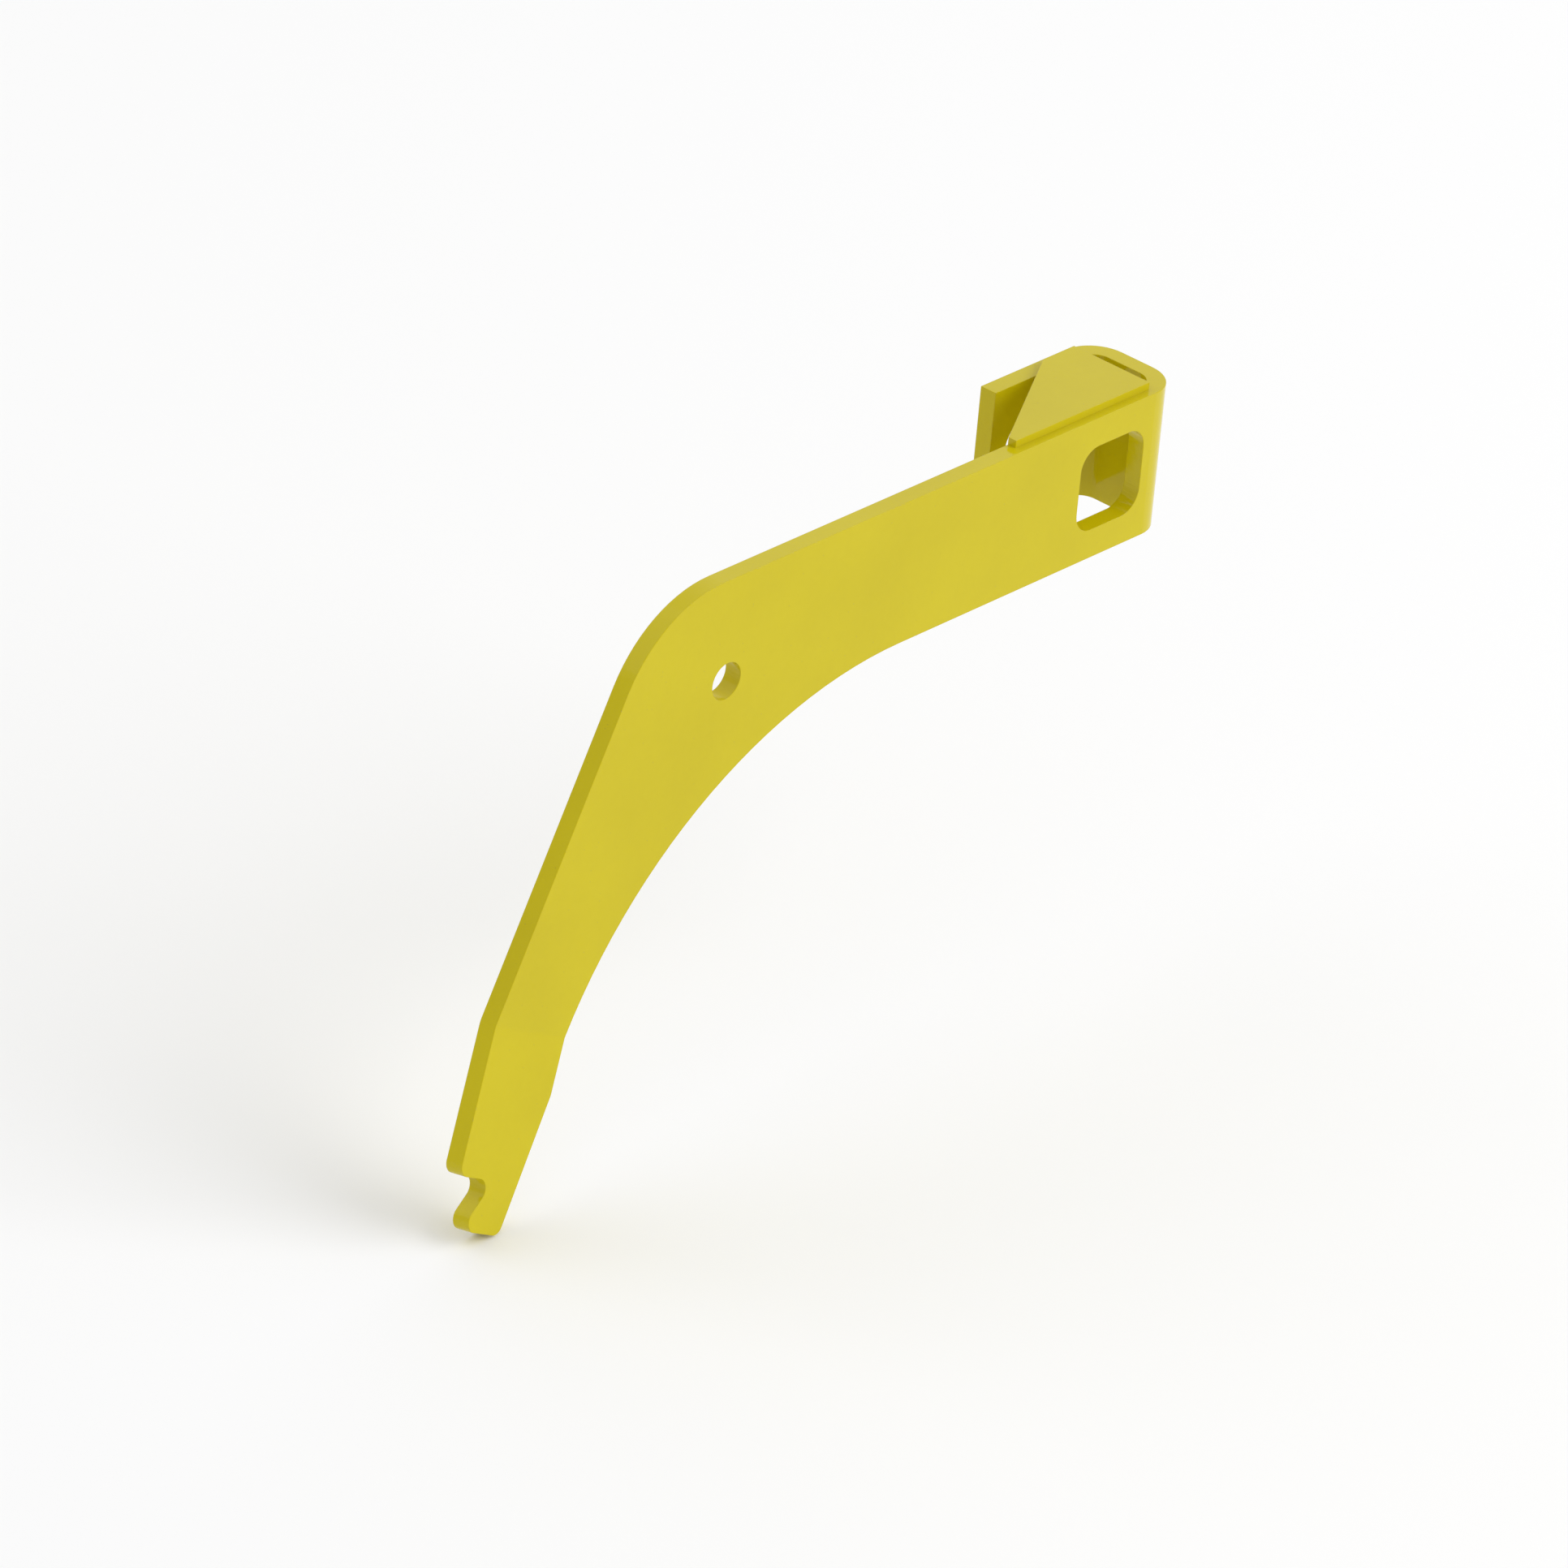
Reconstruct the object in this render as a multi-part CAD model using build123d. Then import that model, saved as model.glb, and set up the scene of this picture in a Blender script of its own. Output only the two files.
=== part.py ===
from build123d import *
import os
from math import cos, radians, sin, tan

# Lever arm cut and folded from one thick plate, with a thin cap plate welded over its
# folded end and a hooked toe bent slightly outwards. Millimetres and degrees. The
# origin is on the pivot axis, in the plate's outer face. +X runs along the straight arm
# to its folded end, +Y goes through the plate towards the fold, and +Z is up.

# The plate and its straight arm
PLATE_T = 10.0              # thickness of the folded plate
ARM_WIDTH = 80.0            # height of the straight arm
PIVOT_DROP = 57.0           # from the arm's top edge down to the pivot axis
PIVOT_R = 10.0              # pivot bore
ARM_REACH = 330.0           # from the pivot axis to the folded end's outer face

# The elbow and the lower arm
LOWER_LEAN = 26.0           # how far the lower arm leans from the vertical
HEEL_OFFSET = 72.3          # from the pivot axis to the lower arm's back edge
LOWER_WIDTH = 57.3          # lower arm, from the end of the throat's arc
ELBOW_R = 70.0              # outside of the elbow
THROAT_R = 250.0            # inside of the elbow

# The toe, bent outwards across the end of the throat's arc
TOE_BEND = 10.0             # angle of the bend, towards -Y
TOE_STRAIGHT = 29.0         # from the bend to where the inner edge turns in
TOE_LENGTH = 100.8          # from the bend to the end of the toe
TIP_TAPER = 11.8            # inner edge's turn towards the back edge
STEP_RISE = 26.6            # from the end of the toe up to the hook's step
HOOK_NECK = 25.5            # tip's width half-way down the hook's slope
HOOK_SLOPE = 33.0           # slope of the hook's nose against the toe
HOOK_R = 6.0                # hook's seat, its nose and the toe's other corners

# The folded end: a web and a return flange
BEND_R = 10.0               # inside of every bend in the plate
CHANNEL_GAP = 40.6          # between the arm and the return flange
RETURN_LENGTH = 84.2        # return flange, from the web's outer face
WINDOW_SIZE = 47.2          # square window in the arm
WINDOW_CORNER_R = 12.0      # its corners
WINDOW_SETBACK = 49.5       # from the web's outer face to the window's centre
RETURN_HOLE_R = 23.6        # round hole in the return flange, in line with the window

# The cap plate and its welds
CAP_T = 4.0                 # thickness of the cap plate
CAP_LENGTH = 100.7          # its long side, on the arm
CAP_REAR_LENGTH = 23.3      # its short side, on the return flange
CAP_SEAT = 5.0              # how far the cap reaches over each plate edge
WELD_LEG = 4.0              # leg of the fillet welds under the cap
WELD_END_GAP = 4.0          # bare length at each end of a weld
WELD_CROWN = 1 / 8          # how far a weld's face bulges, as a share of its width

EDGE_BREAK = 0.3            # all sharp plate edges are broken by this radius
CAP_EDGE_BREAK = 0.2        # and the cap plate's by this one, but for its underside's
SAME_POINT = 1e-6           # points closer than this are one point

# Places that follow from the sizes above
ARM_TOP = PIVOT_DROP
ARM_BOTTOM = PIVOT_DROP - ARM_WIDTH
ARM_MIDDLE = (ARM_TOP + ARM_BOTTOM) / 2
BEND_START = ARM_REACH - PLATE_T - BEND_R
RETURN_INNER_Y = PLATE_T + CHANNEL_GAP
RETURN_OUTER_Y = RETURN_INNER_Y + PLATE_T
RETURN_END = ARM_REACH - RETURN_LENGTH
WINDOW_X = ARM_REACH - WINDOW_SETBACK
CAP_LEFT = BEND_START - CAP_LENGTH
CAP_REAR_LEFT = BEND_START - CAP_REAR_LENGTH
CAP_FRONT_Y = PLATE_T - CAP_SEAT
CAP_REAR_Y = RETURN_INNER_Y + CAP_SEAT

# The lower arm's directions, edges and corners, as X and Z in the plate's plane
LOWER_DOWN = Vector(-sin(radians(LOWER_LEAN)), -cos(radians(LOWER_LEAN)))
LOWER_ACROSS = Vector(cos(radians(LOWER_LEAN)), -sin(radians(LOWER_LEAN)))
THROAT_CUT = THROAT_R * tan(radians(90 - LOWER_LEAN) / 2)
BEND_CUT = BEND_R * tan(radians(TOE_BEND) / 2)
HEEL = LOWER_ACROSS * -HEEL_OFFSET
INNER_EDGE = HEEL + LOWER_ACROSS * LOWER_WIDTH


def meet(point_a, along_a, point_b, along_b):
    """Where two lines in the plate's plane cross."""
    gap = point_b - point_a
    turn = along_a.X * along_b.Y - along_a.Y * along_b.X
    reach = (gap.X * along_b.Y - gap.Y * along_b.X) / turn
    return point_a + along_a * reach


def corner_arc(before, corner, after, radius):
    """Start, middle and end of the arc that rounds one corner."""
    back = (before - corner).normalized()
    ahead = (after - corner).normalized()
    half = radians(back.get_angle(ahead)) / 2
    inward = (back + ahead).normalized()
    cut = radius / tan(half)
    middle = corner + inward * (radius / sin(half) - radius)
    return corner + back * cut, middle, corner + ahead * cut


def rounded_outline(corners):
    """Closed face whose corners are (point, radius); radius 0 leaves a corner sharp."""
    arcs = []
    for index, (corner, radius) in enumerate(corners):
        before = corners[index - 1][0]
        after = corners[(index + 1) % len(corners)][0]
        if radius:
            arcs.append(corner_arc(before, corner, after, radius))
        else:
            arcs.append((corner, corner, corner))
    edges = []
    for index, (start, middle, end) in enumerate(arcs):
        if (end - start).length > SAME_POINT:
            edges.append(ThreePointArc(start, middle, end))
        following = arcs[(index + 1) % len(arcs)][0]
        if (following - end).length > SAME_POINT:
            edges.append(Line(end, following))
    return make_face(edges)


def throat_corner():
    """Where the arm's lower edge would cross the lower arm's inner edge."""
    return meet(Vector(0, ARM_BOTTOM), Vector(1, 0), INNER_EDGE, LOWER_DOWN)


def flat_arm():
    """The flat part of the plate, from the web's bend round the elbow to the toe's."""
    throat = throat_corner()
    throat_end = throat + LOWER_DOWN * THROAT_CUT
    corners = [
        (Vector(BEND_START, ARM_TOP), 0),
        (meet(Vector(0, ARM_TOP), Vector(1, 0), HEEL, LOWER_DOWN), ELBOW_R),
        (throat_end - LOWER_ACROSS * LOWER_WIDTH, 0),
        (throat_end, 0),
        (throat, THROAT_R),
        (Vector(BEND_START, ARM_BOTTOM), 0),
    ]
    return extrude(Plane.XZ * rounded_outline(corners), amount=-PLATE_T)


def toe_plane():
    """Outer face of the toe: origin at the inner edge of the bend, +X across, +Y up."""
    throat_end = throat_corner() + LOWER_DOWN * THROAT_CUT
    corner = throat_end + LOWER_DOWN * BEND_CUT
    across = Vector(LOWER_ACROSS.X, 0, LOWER_ACROSS.Y)
    down = Vector(LOWER_DOWN.X, 0, LOWER_DOWN.Y).rotate(Axis((0, 0, 0), across), -TOE_BEND)
    return Plane(origin=(corner.X, 0, corner.Y), x_dir=across, z_dir=down.cross(across))


def toe_bend():
    """The bend between the lower arm and the toe, over the whole width."""
    turn = radians(TOE_BEND)
    along = Vector(cos(turn), -sin(turn))
    through = Vector(sin(turn), cos(turn)) * PLATE_T
    inside = Vector(0, 0)
    outside = Vector(PLATE_T * tan(turn / 2), PLATE_T)
    corners = [
        (Vector(-BEND_CUT, 0), 0),
        (inside, BEND_R),
        (along * BEND_CUT, 0),
        (along * BEND_CUT + through, 0),
        (outside, BEND_R + PLATE_T),
        (Vector(-BEND_CUT, PLATE_T), 0),
    ]
    corner = throat_corner() + LOWER_DOWN * (THROAT_CUT + BEND_CUT)
    section = Plane(
        origin=(corner.X, 0, corner.Y),
        x_dir=(LOWER_DOWN.X, 0, LOWER_DOWN.Y),
        z_dir=(LOWER_ACROSS.X, 0, LOWER_ACROSS.Y),
    )
    return extrude(section * rounded_outline(corners), amount=-LOWER_WIDTH)


def flat_toe():
    """The toe with its hook, drawn in its own plane."""
    down = Vector(0, -1)
    taper = down.rotate(Axis.Z, -TIP_TAPER)
    slope = down.rotate(Axis.Z, -HOOK_SLOPE)
    level = Vector(1, 0)
    back = Vector(-LOWER_WIDTH, 0)
    turn_in = down * TOE_STRAIGHT
    end = down * TOE_LENGTH
    step = end - down * STEP_RISE
    half_way = end - down * (STEP_RISE / 2)
    nose_middle = meet(turn_in, taper, half_way, level) - level * HOOK_NECK
    corners = [
        (back + down * BEND_CUT, 0),
        (meet(back, down, step, level), HOOK_R),
        (meet(step, level, nose_middle, slope), HOOK_R),
        (meet(nose_middle, slope, end, level), HOOK_R),
        (meet(turn_in, taper, end, level), HOOK_R),
        (turn_in, 0),
        (down * BEND_CUT, 0),
    ]
    return extrude(toe_plane() * rounded_outline(corners), amount=-PLATE_T)


def folded_end():
    """The two bends, the web and the return flange, standing square to the arm."""
    outer_r = BEND_R + PLATE_T
    corners = [
        (Vector(BEND_START, 0), 0),
        (Vector(ARM_REACH, 0), outer_r),
        (Vector(ARM_REACH, RETURN_OUTER_Y), outer_r),
        (Vector(RETURN_END, RETURN_OUTER_Y), 0),
        (Vector(RETURN_END, RETURN_INNER_Y), 0),
        (Vector(ARM_REACH - PLATE_T, RETURN_INNER_Y), BEND_R),
        (Vector(ARM_REACH - PLATE_T, PLATE_T), BEND_R),
        (Vector(BEND_START, PLATE_T), 0),
    ]
    section = Plane.XY.offset(ARM_BOTTOM) * rounded_outline(corners)
    return extrude(section, amount=ARM_WIDTH)


def through_y(face, near, far):
    """A cutter standing on a face drawn in X and Z, from one Y to another."""
    return extrude(Plane.XZ.offset(-near) * face, amount=near - far)


def arm_plate():
    """The folded plate with its pivot bore, its window and the return flange's hole."""
    past = PLATE_T / 2
    plate = flat_toe() + toe_bend() + flat_arm() + folded_end()
    bore = through_y(Circle(PIVOT_R), -past, PLATE_T + past)
    opening = Pos(WINDOW_X, ARM_MIDDLE) * RectangleRounded(WINDOW_SIZE, WINDOW_SIZE, WINDOW_CORNER_R)
    window = through_y(opening, -past, PLATE_T + past)
    round_hole = Pos(WINDOW_X, ARM_MIDDLE) * Circle(RETURN_HOLE_R)
    return_hole = through_y(round_hole, RETURN_INNER_Y - past, RETURN_OUTER_Y + past)
    plate = plate - bore - window - return_hole
    return fillet(plate.edges(), EDGE_BREAK)


def cap_plate():
    """The thin plate over the folded end, cut aslant where the return flange stops."""
    corners = [
        Vector(CAP_LEFT, CAP_FRONT_Y),
        Vector(BEND_START, CAP_FRONT_Y),
        Vector(BEND_START, CAP_REAR_Y),
        Vector(CAP_REAR_LEFT, CAP_REAR_Y),
        Vector(CAP_LEFT, PLATE_T),
    ]
    face = rounded_outline([(corner, 0) for corner in corners])
    plate = extrude(Plane.XY.offset(ARM_TOP) * face, amount=CAP_T)
    free_edges = [edge for edge in plate.edges() if edge.center().Z > ARM_TOP + CAP_T / 4]
    return fillet(free_edges, CAP_EDGE_BREAK)


def weld_bead(wall_y, side, start, end):
    """A fillet weld in the corner between a plate's inner wall and the cap's underside."""
    low = Vector(wall_y, ARM_TOP - WELD_LEG)
    root = Vector(wall_y, ARM_TOP)
    far = Vector(wall_y + WELD_LEG * side, ARM_TOP)
    middle = (low + far) / 2
    crown = middle + (middle - root).normalized() * (WELD_CROWN * (far - low).length)
    section = make_face([Line(low, root), Line(root, far), ThreePointArc(far, crown, low)])
    return extrude(Plane.YZ.offset(start) * section, amount=end - start)


def front_weld():
    """The long weld, along the arm's inner face."""
    return weld_bead(PLATE_T, 1, CAP_LEFT + 2 * WELD_END_GAP, BEND_START - WELD_END_GAP)


def rear_weld():
    """The short weld, along the return flange's inner face."""
    slant = (CAP_REAR_LEFT - CAP_LEFT) / (CAP_REAR_Y - PLATE_T)
    start = CAP_REAR_LEFT - slant * CAP_SEAT + WELD_END_GAP
    return weld_bead(RETURN_INNER_Y, -1, start, BEND_START - WELD_END_GAP)


def main():
    os.makedirs("parts", exist_ok=True)
    nodes = {
        "arm_plate": arm_plate(),
        "cap_plate": cap_plate(),
        "weld_bead_front": front_weld(),
        "weld_bead_rear": rear_weld(),
    }
    for name, shape in nodes.items():
        export_step(shape, f"parts/{name}.step")


main()
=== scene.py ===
"""Looks of a folded steel-plate lever arm in gloss yellow paint.

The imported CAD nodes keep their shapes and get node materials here. The two plain weld
beads are replaced by rippled ones. Everything is in metres, in the part's own frame:
the origin is on the pivot axis, +X runs to the folded end and +Z is up.
"""

import math

import bmesh
import bpy
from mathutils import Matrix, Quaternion, Vector

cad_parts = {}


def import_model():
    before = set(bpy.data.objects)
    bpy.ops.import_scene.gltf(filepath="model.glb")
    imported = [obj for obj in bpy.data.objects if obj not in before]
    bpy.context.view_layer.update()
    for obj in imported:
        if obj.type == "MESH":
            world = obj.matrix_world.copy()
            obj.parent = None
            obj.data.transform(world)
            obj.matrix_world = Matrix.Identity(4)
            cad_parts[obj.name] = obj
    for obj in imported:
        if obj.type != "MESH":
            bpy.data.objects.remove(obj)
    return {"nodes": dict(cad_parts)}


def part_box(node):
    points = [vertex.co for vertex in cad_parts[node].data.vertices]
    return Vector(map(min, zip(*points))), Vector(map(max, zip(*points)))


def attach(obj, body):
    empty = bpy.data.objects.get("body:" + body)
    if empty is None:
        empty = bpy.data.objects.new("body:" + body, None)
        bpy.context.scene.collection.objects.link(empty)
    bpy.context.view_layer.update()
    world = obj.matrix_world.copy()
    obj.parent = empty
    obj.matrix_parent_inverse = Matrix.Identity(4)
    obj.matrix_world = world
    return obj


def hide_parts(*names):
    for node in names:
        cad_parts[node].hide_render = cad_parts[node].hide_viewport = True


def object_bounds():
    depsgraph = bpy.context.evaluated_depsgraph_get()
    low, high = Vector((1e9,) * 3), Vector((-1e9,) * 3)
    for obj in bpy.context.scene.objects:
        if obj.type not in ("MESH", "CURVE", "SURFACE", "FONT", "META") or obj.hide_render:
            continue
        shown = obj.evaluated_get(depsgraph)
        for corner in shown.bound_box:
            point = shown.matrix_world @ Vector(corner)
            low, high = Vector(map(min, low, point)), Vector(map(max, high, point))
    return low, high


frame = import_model()
cad_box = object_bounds()

MM = 0.001

# Camera, at the photograph's viewing angle
VIEW_AZIMUTH = math.radians(-49.997)        # 0 looks along +Y
VIEW_ELEVATION = math.radians(28.832)
VIEW_ROLL = math.radians(5.312)             # right-hand side of the picture tilts up
VIEW_DISTANCE = 6.272
VIEW_TARGET = Vector((0.0038, -0.0390, -0.0414))
LENS_MM = 296.99
SENSOR_MM = 36.0

# Studio
WORLD_LIGHT = 0.70                          # even light from all round
BOX_DISTANCE = 8.0
BOX_SIZE = 6.63
SOFTBOXES = {                               # direction from the part, and power
    "key": (Vector((0.45, -0.70, 0.52)), 350.0),
    "back_left": (Vector((-0.30, 0.60, 0.70)), 94.0),
    "back_right": (Vector((0.61, 0.51, 0.61)), 47.0),
}
FLOOR_SIZE = 60.0
FLOOR_TINT = (0.92, 0.92, 0.92, 1.0)

# Paint, linear colours
PAINT = (0.570, 0.476, 0.0026)
PAINT_DEEP = (0.520, 0.428, 0.0026)         # where the coat is a little thicker
PAINT_THIN = (0.470, 0.372, 0.0060)         # where it has pulled thin over an edge
PAINT_NIB = (0.330, 0.262, 0.0100)          # dust caught in the coat
PRIMER = (0.210, 0.180, 0.140)              # shows where an edge has chipped
PAINT_WELD = (0.500, 0.412, 0.0028)         # a weld takes a rougher, darker coat
PAINT_IOR = 1.5
PAINT_SPECULAR = 0.23

# Edges, cutting marks and chips. A pair called RAMP is where a value's 0 and 1 are put
EDGE_WEAR_R = 0.9 * MM
EDGE_DOT_RAMP = (0.995, 0.80)               # bevelled normal against the face's own
BEVEL_SAMPLES = 6
JOINT_FADE = (1.0, 1.5)                     # wear starts and is full above a joint, in EDGE_WEAR_R
CUT_NORMAL = 0.5                            # a cut face's normal is less than this through it
CUT_EDGE_END_X = 0.310                      # beyond it the plate is folded, not cut
CUT_MARK_SIZE = 1.1 * MM
CUT_MARK_STRETCH = {"Y": (1.0, 14.0, 1.0), "Z": (1.0, 1.0, 14.0)}
CUT_MARK_DEPTH = 0.070 * MM
CHIP_SIZE = 1.3 * MM
CHIP_RAMP = (0.60, 0.63)
CHIP_GROUP_SIZE = 26 * MM
CHIP_GROUP_RAMP = (0.57, 0.62)
CHIP_EDGE_RAMP = (0.10, 0.30)
CHIP_DEPTH = 0.06 * MM
CHIP_DULLNESS = 0.40

# The coat's surface
PEEL_SIZE = 2.2 * MM
PEEL_DEPTH = 0.026 * MM
ROLLED_SIZE = 45 * MM
ROLLED_DEPTH = 0.12 * MM
HAZE_SIZE = 28 * MM
HAZE_ROUGHNESS = (0.05, 0.13)
EDGE_DULLNESS = 0.08
SCUFF_DULLNESS = 0.10
SCUFF_WIDTH = {"along": 0.5 * MM, "down": 0.6 * MM}
SCUFF_STRETCH = {"along": (45.0, 1.0, 1.0), "down": (1.0, 1.0, 35.0)}
SCUFF_RAMP = {"along": (0.66, 0.74), "down": (0.68, 0.76)}
SCUFF_GROUP_SIZE = 60 * MM
SCUFF_GROUP_RAMP = (0.45, 0.70)
NIB_SPACING = 4.5 * MM
NIB_R = 0.40 * MM
NIB_SHARE = 0.45
NIB_TINT = 0.55
NIB_DULLNESS = 0.25
NIB_HEIGHT = 0.03 * MM

# The coat's colour
DRIFT_SIZE = 70 * MM
DRIFT_RAMP = (0.35, 0.70)
DRIFT_SHARE = 0.55
MOTTLE_SIZE = 5 * MM
MOTTLE_SHARE = (-0.25, 0.25)
EDGE_BREAK_SIZE = 3 * MM
EDGE_BREAK_SHARE = (0.25, 0.95)

# Weld beads
WELD_RIPPLE_PITCH = 1.45 * MM
WELD_RIPPLE_HEIGHT = 0.28 * MM
WELD_RIPPLE_RISE = 0.6                      # powers of a ripple's two sides
WELD_RIPPLE_FALL = 0.35
WELD_RIPPLE_GAIN = 1.9
WELD_RIPPLE_SINK = 0.8
WELD_STEP = 0.16 * MM                       # from one section of the mesh to the next
WELD_CROWN = 0.35 * MM                      # how far the face bulges beyond flat
WELD_FACE_POINTS = 13
WELD_SCALLOP = 0.9                          # how far each ripple bows along the bead
WELD_WANDER = 0.12 * MM
WELD_WANDER_LENGTH = 5.3 * MM
WELD_DRIFT = 0.35                           # in ripples, how far their spacing drifts
WELD_DRIFT_LENGTH = 7 * MM
WELD_SHARP_ANGLE = math.radians(50)
SPATTER_SPACING = 2.6 * MM
SPATTER_R = 0.30 * MM
SPATTER_SHARE = 0.30
SPATTER_TINT = 0.3
SPATTER_HEIGHT = 0.05 * MM
WELD_GLOSS_SIZE = 2 * MM
WELD_ROUGHNESS = (0.18, 0.34)
WELD_GRAIN_SIZE = 0.5 * MM
WELD_GRAIN_DEPTH = 0.020 * MM
SAME_POINT = 0.001 * MM


# ---------------------------------------------------------------- node helpers
class Nodes:
    """A material's node tree, with one short call for each kind of node."""

    def __init__(self, name):
        self.material = bpy.data.materials.new(name)
        self.material.use_nodes = True
        self.tree = self.material.node_tree
        self.tree.nodes.clear()
        coordinates = self.tree.nodes.new("ShaderNodeTexCoord")
        self.place = coordinates.outputs["Object"]

    def join(self, source, socket):
        """Link an output to an input, or set the input to a plain value."""
        if isinstance(source, bpy.types.NodeSocket):
            self.tree.links.new(source, socket)
        else:
            socket.default_value = source

    def math(self, operation, *values, clamp=False):
        """One Math node; each value is a socket or a plain number."""
        node = self.tree.nodes.new("ShaderNodeMath")
        node.operation = operation
        node.use_clamp = clamp
        for socket, value in zip(node.inputs, values):
            self.join(value, socket)
        return node.outputs[0]

    def noise(self, size, detail=2.0, stretch=(1.0, 1.0, 1.0)):
        """Noise whose lumps are about `size` metres across, times the stretch on each axis."""
        mapping = self.tree.nodes.new("ShaderNodeMapping")
        mapping.inputs["Scale"].default_value = [1 / (size * s) for s in stretch]
        self.join(self.place, mapping.inputs["Vector"])
        node = self.tree.nodes.new("ShaderNodeTexNoise")
        node.inputs["Scale"].default_value = 1.0
        node.inputs["Detail"].default_value = detail
        self.join(mapping.outputs[0], node.inputs["Vector"])
        return node.outputs["Fac"]

    def specks(self, spacing, radius, share):
        """1 inside half the radius of small round specks. Only a share of the cells has one."""
        node = self.tree.nodes.new("ShaderNodeTexVoronoi")
        node.inputs["Scale"].default_value = 1 / spacing
        self.join(self.place, node.inputs["Vector"])
        split = self.tree.nodes.new("ShaderNodeSeparateColor")
        self.join(node.outputs["Color"], split.inputs[0])
        inside = self.ramp(node.outputs["Distance"], radius / spacing, 0.5 * radius / spacing)
        chosen = self.math("LESS_THAN", split.outputs[0], share)
        return self.math("MULTIPLY", inside, chosen)

    def ramp(self, value, start, end):
        """0 at start and 1 at end, straight between them."""
        node = self.tree.nodes.new("ShaderNodeMapRange")
        self.join(value, node.inputs["Value"])
        node.inputs["From Min"].default_value = start
        node.inputs["From Max"].default_value = end
        return node.outputs[0]

    def between(self, value, low, high):
        """A 0 to 1 value stretched to run from low to high."""
        node = self.tree.nodes.new("ShaderNodeMapRange")
        self.join(value, node.inputs["Value"])
        node.inputs["To Min"].default_value = low
        node.inputs["To Max"].default_value = high
        return node.outputs[0]

    def mix(self, share, colour_a, colour_b):
        """colour_a where share is 0 and colour_b where it is 1."""
        node = self.tree.nodes.new("ShaderNodeMix")
        node.data_type = "RGBA"
        self.join(share, node.inputs["Factor"])
        for socket, colour in ((node.inputs["A"], colour_a), (node.inputs["B"], colour_b)):
            if not isinstance(colour, bpy.types.NodeSocket):
                colour = (*colour, 1.0)
            self.join(colour, socket)
        return node.outputs["Result"]

    def axis(self, vector, name):
        """One component, X, Y or Z, of a vector socket."""
        node = self.tree.nodes.new("ShaderNodeSeparateXYZ")
        self.join(vector, node.inputs[0])
        return node.outputs[name]

    def sharp_edges(self, radius):
        """Near 0 on open faces, rising towards 1 within `radius` of an edge."""
        bevel = self.tree.nodes.new("ShaderNodeBevel")
        bevel.samples = BEVEL_SAMPLES
        bevel.inputs["Radius"].default_value = radius
        geometry = self.tree.nodes.new("ShaderNodeNewGeometry")
        dot = self.tree.nodes.new("ShaderNodeVectorMath")
        dot.operation = "DOT_PRODUCT"
        self.join(bevel.outputs[0], dot.inputs[0])
        self.join(geometry.outputs["Normal"], dot.inputs[1])
        return self.ramp(dot.outputs["Value"], *EDGE_DOT_RAMP)

    def cut_face(self, through):
        """1 on faces cut through the plate, 0 on rolled ones. `through` is its thickness' axis."""
        geometry = self.tree.nodes.new("ShaderNodeNewGeometry")
        normal = self.axis(geometry.outputs["True Normal"], through)
        sideways = self.math("LESS_THAN", self.math("ABSOLUTE", normal), CUT_NORMAL)
        flat_part = self.math("LESS_THAN", self.axis(self.place, "X"), CUT_EDGE_END_X)
        return self.math("MULTIPLY", sideways, flat_part)

    def finish(self, colour, roughness, height):
        """The shader; height is in metres."""
        shader = self.tree.nodes.new("ShaderNodeBsdfPrincipled")
        shader.inputs["IOR"].default_value = PAINT_IOR
        shader.inputs["Specular IOR Level"].default_value = PAINT_SPECULAR
        self.join(colour, shader.inputs["Base Color"])
        self.join(roughness, shader.inputs["Roughness"])
        bump = self.tree.nodes.new("ShaderNodeBump")
        bump.inputs["Strength"].default_value = 1.0
        bump.inputs["Distance"].default_value = 1.0
        self.join(height, bump.inputs["Height"])
        self.join(bump.outputs[0], shader.inputs["Normal"])
        output = self.tree.nodes.new("ShaderNodeOutputMaterial")
        self.join(shader.outputs[0], output.inputs["Surface"])
        return self.material


# ---------------------------------------------------------------- materials
def edge_chips(nodes, edges):
    """1 in small chips, in sparse groups along the edges."""
    grain = nodes.ramp(nodes.noise(CHIP_SIZE, detail=3.0), *CHIP_RAMP)
    groups = nodes.ramp(nodes.noise(CHIP_GROUP_SIZE, detail=1.0), *CHIP_GROUP_RAMP)
    on_edge = nodes.ramp(edges, *CHIP_EDGE_RAMP)
    return nodes.math("MULTIPLY", nodes.math("MULTIPLY", grain, groups), on_edge)


def scuffs(nodes):
    """1 in fine handling scuffs, along the arm and along the lower arm."""
    lines = []
    for way in ("along", "down"):
        streaks = nodes.noise(SCUFF_WIDTH[way], stretch=SCUFF_STRETCH[way])
        lines.append(nodes.ramp(streaks, *SCUFF_RAMP[way]))
    groups = nodes.ramp(nodes.noise(SCUFF_GROUP_SIZE), *SCUFF_GROUP_RAMP)
    return nodes.math("MULTIPLY", nodes.math("MAXIMUM", *lines), groups)


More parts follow.
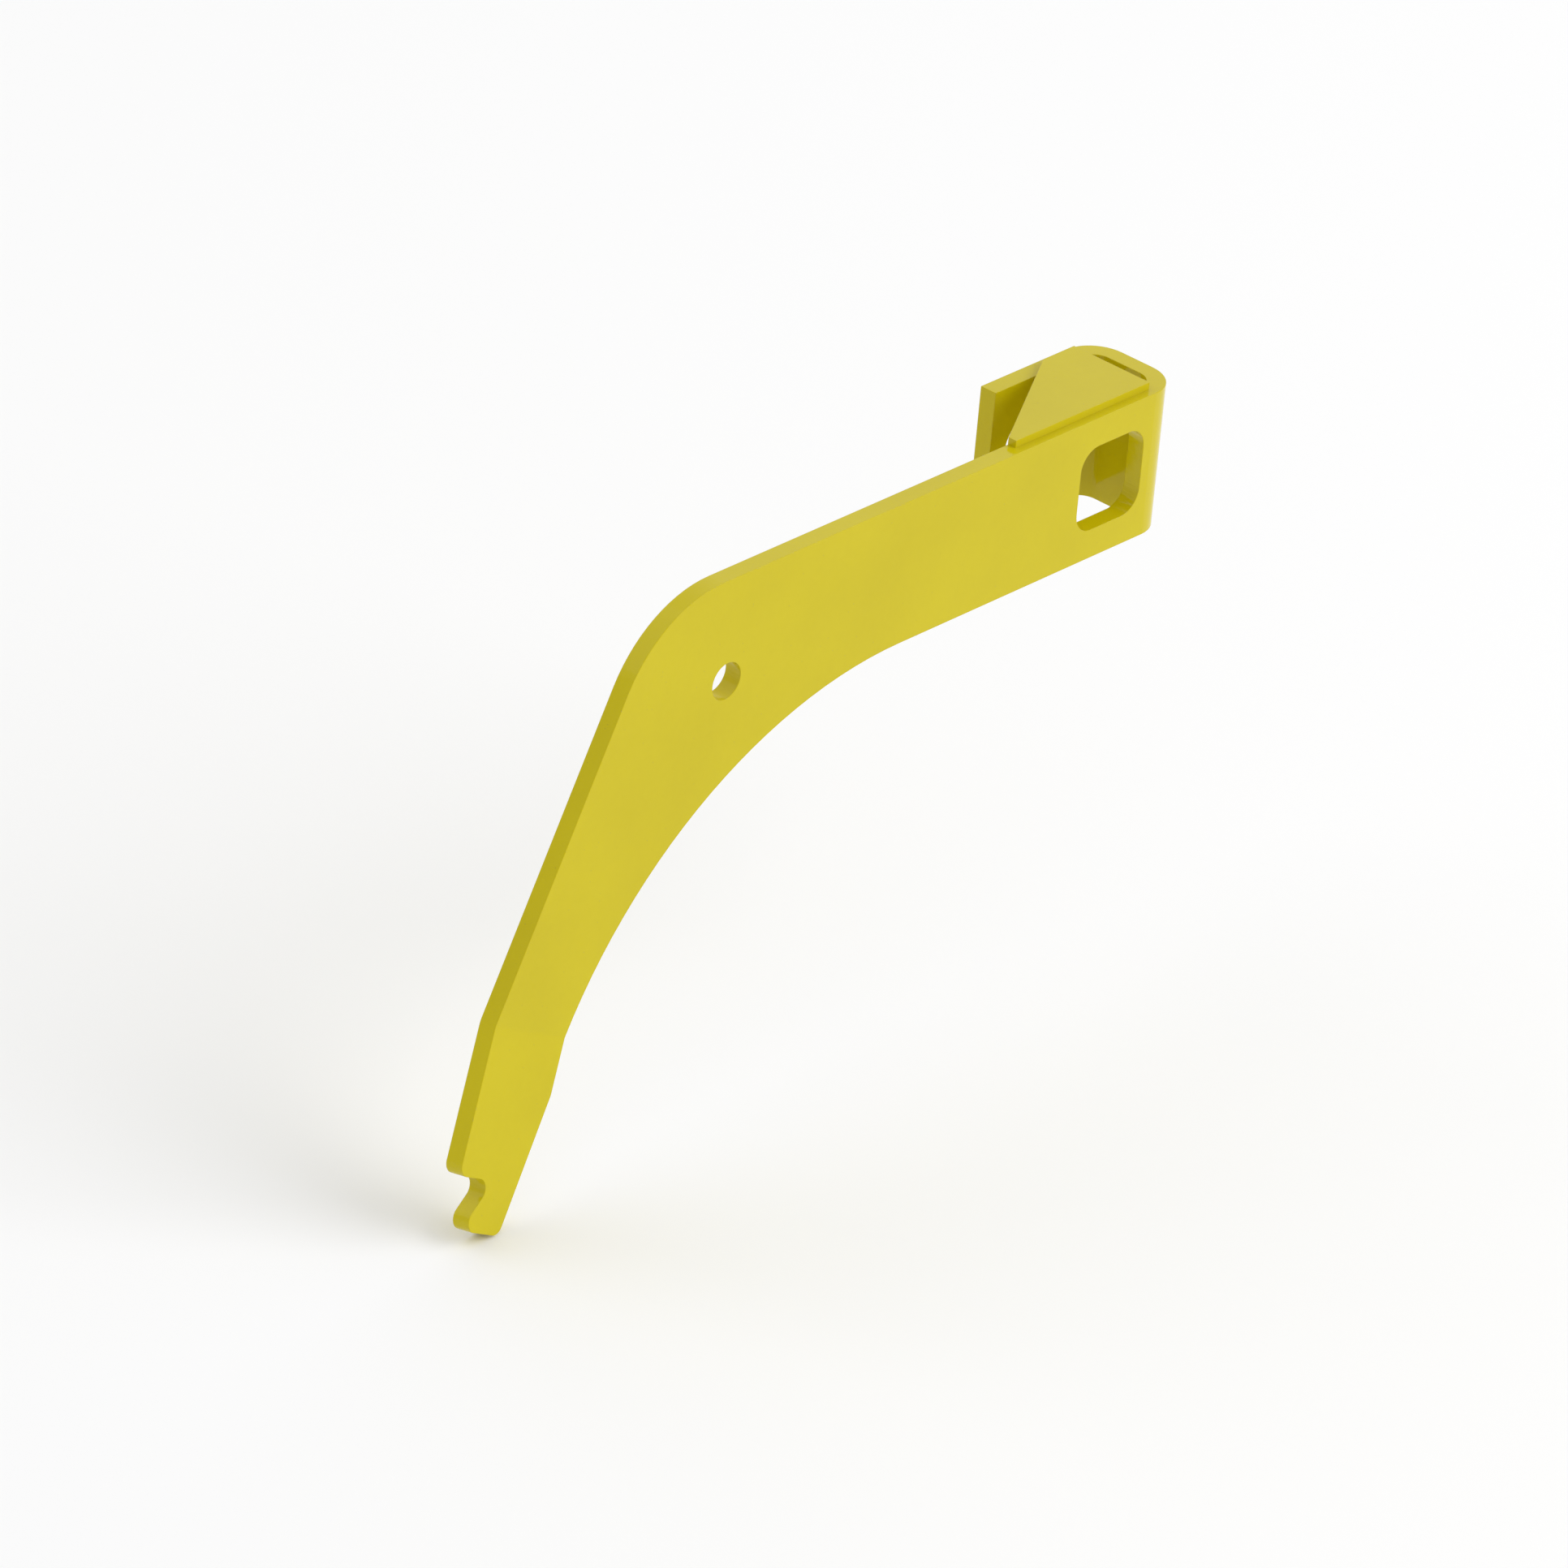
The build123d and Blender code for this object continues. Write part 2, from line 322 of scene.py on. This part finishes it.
def paint_colour(nodes, base, edges, nibs):
    """Base coat with slow drift, fine mottle, thin paint at edges and trapped dust."""
    drift = nodes.ramp(nodes.noise(DRIFT_SIZE), *DRIFT_RAMP)
    drift = nodes.math("MULTIPLY", drift, DRIFT_SHARE)
    mottle = nodes.between(nodes.noise(MOTTLE_SIZE, detail=3.0), *MOTTLE_SHARE)
    coat = nodes.mix(nodes.math("ADD", drift, mottle, clamp=True), base, PAINT_DEEP)
    edge_break = nodes.between(nodes.noise(EDGE_BREAK_SIZE, detail=4.0), *EDGE_BREAK_SHARE)
    thin = nodes.math("MULTIPLY", edges, edge_break, clamp=True)
    coat = nodes.mix(thin, coat, PAINT_THIN)
    return nodes.mix(nodes.math("MULTIPLY", nibs, NIB_TINT), coat, PAINT_NIB)


def paint_roughness(nodes, edges, nibs):
    """Gloss, a little duller in patches, over edges, in scuffs and on dust."""
    haze = nodes.between(nodes.noise(HAZE_SIZE, detail=3.0), *HAZE_ROUGHNESS)
    dulled = nodes.math("ADD", haze, nodes.math("MULTIPLY", edges, EDGE_DULLNESS))
    dulled = nodes.math("ADD", dulled, nodes.math("MULTIPLY", scuffs(nodes), SCUFF_DULLNESS))
    return nodes.math("ADD", dulled, nodes.math("MULTIPLY", nibs, NIB_DULLNESS), clamp=True)


def paint_height(nodes, nibs, through):
    """Orange peel over a rolled plate, with cutting marks showing through on cut faces."""
    peel = nodes.math("MULTIPLY", nodes.noise(PEEL_SIZE, detail=1.5), PEEL_DEPTH)
    rolled = nodes.math("MULTIPLY", nodes.noise(ROLLED_SIZE, detail=1.0), ROLLED_DEPTH)
    marks = nodes.noise(CUT_MARK_SIZE, stretch=CUT_MARK_STRETCH[through])
    marks = nodes.math("MULTIPLY", marks, CUT_MARK_DEPTH)
    cut = nodes.math("MULTIPLY", nodes.cut_face(through), marks)
    bumps = nodes.math("MULTIPLY", nibs, NIB_HEIGHT)
    return nodes.math("ADD", nodes.math("ADD", peel, rolled), nodes.math("ADD", cut, bumps))


def free_edges(nodes, joint_height):
    """Sharp edges, less those at joint_height, where the coat fills the joint below."""
    starts, full = [joint_height + fade * EDGE_WEAR_R for fade in JOINT_FADE]
    free = nodes.ramp(nodes.axis(nodes.place, "Z"), starts, full)
    return nodes.math("MULTIPLY", nodes.sharp_edges(EDGE_WEAR_R), free)


def gloss_paint(name, through, joint_height):
    """Gloss yellow paint on a plate whose thickness lies along the axis `through`."""
    nodes = Nodes(name)
    edges = free_edges(nodes, joint_height)
    chips = edge_chips(nodes, edges)
    nibs = nodes.specks(NIB_SPACING, NIB_R, NIB_SHARE)
    colour = nodes.mix(chips, paint_colour(nodes, PAINT, edges, nibs), PRIMER)
    dulled = nodes.math("MULTIPLY", chips, CHIP_DULLNESS)
    roughness = nodes.math("ADD", paint_roughness(nodes, edges, nibs), dulled, clamp=True)
    depth = nodes.math("MULTIPLY", chips, CHIP_DEPTH)
    height = nodes.math("SUBTRACT", paint_height(nodes, nibs, through), depth)
    return nodes.finish(colour, roughness, height)


def weld_paint():
    """The same paint over a weld, where it covers spatter."""
    nodes = Nodes("weld_paint")
    edges = nodes.sharp_edges(EDGE_WEAR_R)
    nibs = nodes.specks(SPATTER_SPACING, SPATTER_R, SPATTER_SHARE)
    tint = nodes.math("MULTIPLY", nibs, SPATTER_TINT)
    colour = paint_colour(nodes, PAINT_WELD, edges, tint)
    roughness = nodes.between(nodes.noise(WELD_GLOSS_SIZE, detail=3.0), *WELD_ROUGHNESS)
    grain = nodes.noise(WELD_GRAIN_SIZE, detail=3.0)
    grain = nodes.math("MULTIPLY", grain, WELD_GRAIN_DEPTH)
    spatter = nodes.math("MULTIPLY", nibs, SPATTER_HEIGHT)
    return nodes.finish(colour, roughness, nodes.math("ADD", grain, spatter))


def dress(piece, material):
    """Every material slot of a piece takes this material."""
    if not piece.material_slots:
        piece.data.materials.append(material)
    for material_slot in piece.material_slots:
        material_slot.material = material


# ---------------------------------------------------------------- weld beads
def bead_swell(x, length, leg):
    """Size of the bead's section at x along it: full, with round ends."""
    from_end = min(x, length - x)
    if from_end >= leg:
        return 1.0
    return math.sqrt(max(1.0 - (1.0 - from_end / leg) ** 2, 0.0))


def bead_ripple(x, across, seed):
    """Height of the scalloped ripples, bowed along the bead at the middle of its face."""
    bow = WELD_SCALLOP * WELD_RIPPLE_PITCH * (1.0 - across * across)
    drift = WELD_DRIFT * math.sin(x / WELD_DRIFT_LENGTH + seed)
    step = ((x - bow) / WELD_RIPPLE_PITCH + drift) % 1.0
    shape = step ** WELD_RIPPLE_RISE * (1.0 - step) ** WELD_RIPPLE_FALL
    return WELD_RIPPLE_HEIGHT * (shape * WELD_RIPPLE_GAIN - WELD_RIPPLE_SINK)


def bead_ring(x, length, leg, seed):
    """The section at x as (away from the wall, below the cap): root, then the face."""
    swell = bead_swell(x, length, leg)
    wander = WELD_WANDER * math.sin(x / WELD_WANDER_LENGTH + 2 * seed)
    ring = [(0.0, 0.0)]
    for index in range(WELD_FACE_POINTS):
        share = index / (WELD_FACE_POINTS - 1)
        across = 2 * share - 1
        middle = 1.0 - across * across
        out = WELD_CROWN * middle + (bead_ripple(x, across, seed) + wander) * middle
        lift = out / math.sqrt(2)
        ring.append(((leg * (1 - share) + lift) * swell, (leg * share + lift) * swell))
    return ring


def bead_rings(length, leg, seed):
    """All sections along the bead, between the two points where it starts and stops."""
    count = round(length / WELD_STEP)
    rings = []
    for index in range(1, count):
        x = length * index / count
        rings.append((x, bead_ring(x, length, leg, seed)))
    return rings


def bead_faces(rows):
    """Faces between the rings, then the fans that close both ends on their end points."""
    size = WELD_FACE_POINTS + 1
    first = rows * size
    last_row = first - size
    faces = []
    for row in range(rows - 1):
        for k in range(size):
            a = row * size + k
            b = row * size + (k + 1) % size
            faces.append((a, b, b + size, a + size))
    for k in range(size):
        following = (k + 1) % size
        faces.append((first, following, k))
        faces.append((first + 1, last_row + k, last_row + following))
    return faces


def weld_bead(name, node, side, seed, material):
    """A rippled fillet bead in the place of a plain CAD one. side is +1 if its wall is at
    the box's low Y and -1 if at its high Y."""
    low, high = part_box(node)
    leg = min(high.y - low.y, high.z - low.z)
    wall = low.y if side > 0 else high.y
    rings = bead_rings(high.x - low.x, leg, seed)
    vertices = []
    for x, ring in rings:
        for away, below in ring:
            vertices.append((low.x + x, wall + side * away, high.z - below))
    vertices += [(low.x, wall, high.z), (high.x, wall, high.z)]
    mesh = bpy.data.meshes.new(name)
    mesh.from_pydata(vertices, [], bead_faces(len(rings)))
    face_outwards(mesh)
    mesh.shade_smooth()
    mesh.set_sharp_from_angle(angle=WELD_SHARP_ANGLE)
    bead = bpy.data.objects.new(name, mesh)
    bpy.context.scene.collection.objects.link(bead)
    dress(bead, material)
    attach(bead, "root")
    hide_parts(node)


def face_outwards(mesh):
    """All normals point out of a closed mesh."""
    shape = bmesh.new()
    shape.from_mesh(mesh)
    bmesh.ops.remove_doubles(shape, verts=shape.verts, dist=SAME_POINT)
    bmesh.ops.recalc_face_normals(shape, faces=shape.faces)
    shape.to_mesh(mesh)
    shape.free()


# ---------------------------------------------------------------- studio
def camera():
    """Stands off the target along the photograph's line of sight, rolled as it is."""
    back = Vector((
        math.sin(VIEW_AZIMUTH) * math.cos(VIEW_ELEVATION),
        -math.cos(VIEW_AZIMUTH) * math.cos(VIEW_ELEVATION),
        math.sin(VIEW_ELEVATION),
    ))
    data = bpy.data.cameras.new("camera")
    data.sensor_width = SENSOR_MM
    data.lens = LENS_MM
    data.clip_end = 10 * FLOOR_SIZE
    view = bpy.data.objects.new("camera", data)
    bpy.context.scene.collection.objects.link(view)
    view.location = VIEW_TARGET + back * VIEW_DISTANCE
    view.rotation_mode = "QUATERNION"
    level = (-back).to_track_quat("-Z", "Y")
    view.rotation_quaternion = level @ Quaternion((0, 0, 1), VIEW_ROLL)
    bpy.context.scene.camera = view


def softbox(name, towards, power):
    """A square area light that faces the part."""
    direction = towards.normalized()
    data = bpy.data.lights.new(name, "AREA")
    data.shape = "SQUARE"
    data.size = BOX_SIZE
    data.energy = power
    lamp = bpy.data.objects.new(name, data)
    bpy.context.scene.collection.objects.link(lamp)
    lamp.location = direction * BOX_DISTANCE
    lamp.rotation_mode = "QUATERNION"
    lamp.rotation_quaternion = (-direction).to_track_quat("-Z", "Y")


def world():
    """Even light from all round."""
    surroundings = bpy.data.worlds.new("world")
    surroundings.use_nodes = True
    background = surroundings.node_tree.nodes["Background"]
    background.inputs["Color"].default_value = (1.0, 1.0, 1.0, 1.0)
    background.inputs["Strength"].default_value = WORLD_LIGHT
    bpy.context.scene.world = surroundings


def floor():
    """A pale floor under the part's lowest point."""
    half = FLOOR_SIZE / 2
    height = cad_box[0].z
    corners = [(x * half, y * half, height) for x, y in ((-1, -1), (1, -1), (1, 1), (-1, 1))]
    mesh = bpy.data.meshes.new("floor")
    mesh.from_pydata(corners, [], [(0, 1, 2, 3)])
    ground = bpy.data.objects.new("floor", mesh)
    bpy.context.scene.collection.objects.link(ground)
    material = bpy.data.materials.new("floor")
    material.use_nodes = True
    shader = material.node_tree.nodes["Principled BSDF"]
    shader.inputs["Base Color"].default_value = FLOOR_TINT
    shader.inputs["Roughness"].default_value = 1.0
    shader.inputs["Specular IOR Level"].default_value = 0.0
    dress(ground, material)


below_the_part = cad_box[0].z - 2 * EDGE_WEAR_R
cap_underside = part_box("cap_plate")[0].z
dress(frame["nodes"]["arm_plate"], gloss_paint("yellow_paint", "Y", below_the_part))
dress(frame["nodes"]["cap_plate"], gloss_paint("cap_paint", "Z", cap_underside))
bead_material = weld_paint()
weld_bead("weld_bead_front_rippled", "weld_bead_front", 1, 0.4, bead_material)
weld_bead("weld_bead_rear_rippled", "weld_bead_rear", -1, 2.1, bead_material)
camera()
world()
floor()
for name, (towards, power) in SOFTBOXES.items():
    softbox(name, towards, power)
bpy.context.scene.view_settings.view_transform = "Standard"
